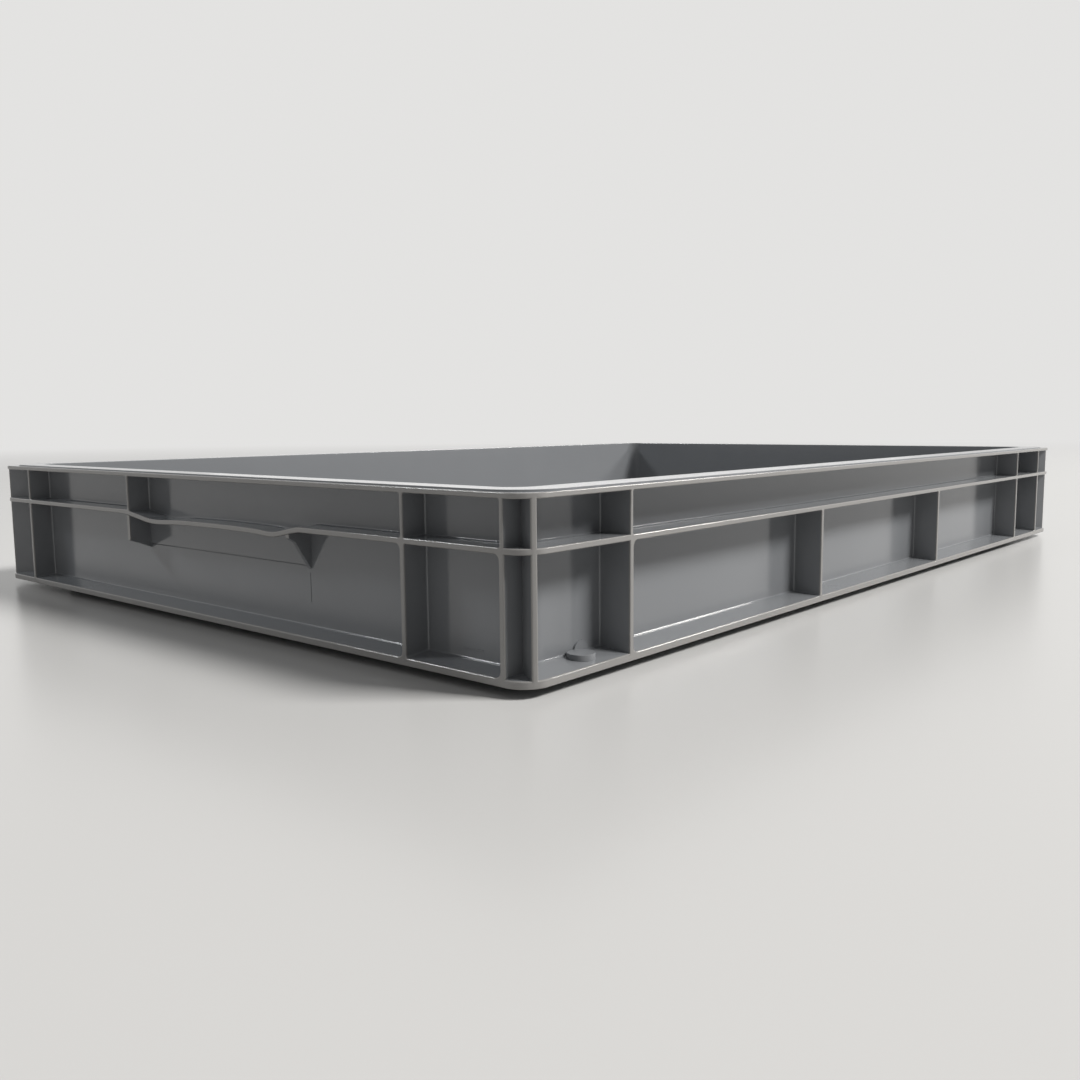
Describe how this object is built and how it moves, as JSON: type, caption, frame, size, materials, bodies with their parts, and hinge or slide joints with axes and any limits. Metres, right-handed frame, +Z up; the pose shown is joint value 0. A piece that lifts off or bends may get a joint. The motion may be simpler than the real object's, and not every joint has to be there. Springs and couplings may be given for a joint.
{
  "type": "euro stacking container",
  "caption": "Shallow ribbed plastic tray with a stepped rim, a hand grip in each short end and a raised foot that seats in the rim of the tray below",
  "frame": {"origin": "centre of the footprint, on the table under the foot", "axes": "+X along the long sides, +Y along the short ends, +Z up out of the open top"},
  "size_m": [0.6, 0.4, 0.068],
  "materials": {
    "moulding": "satin"
  },
  "bodies": {
    "root": {"container": "moulding"}
  },
  "joints": []
}
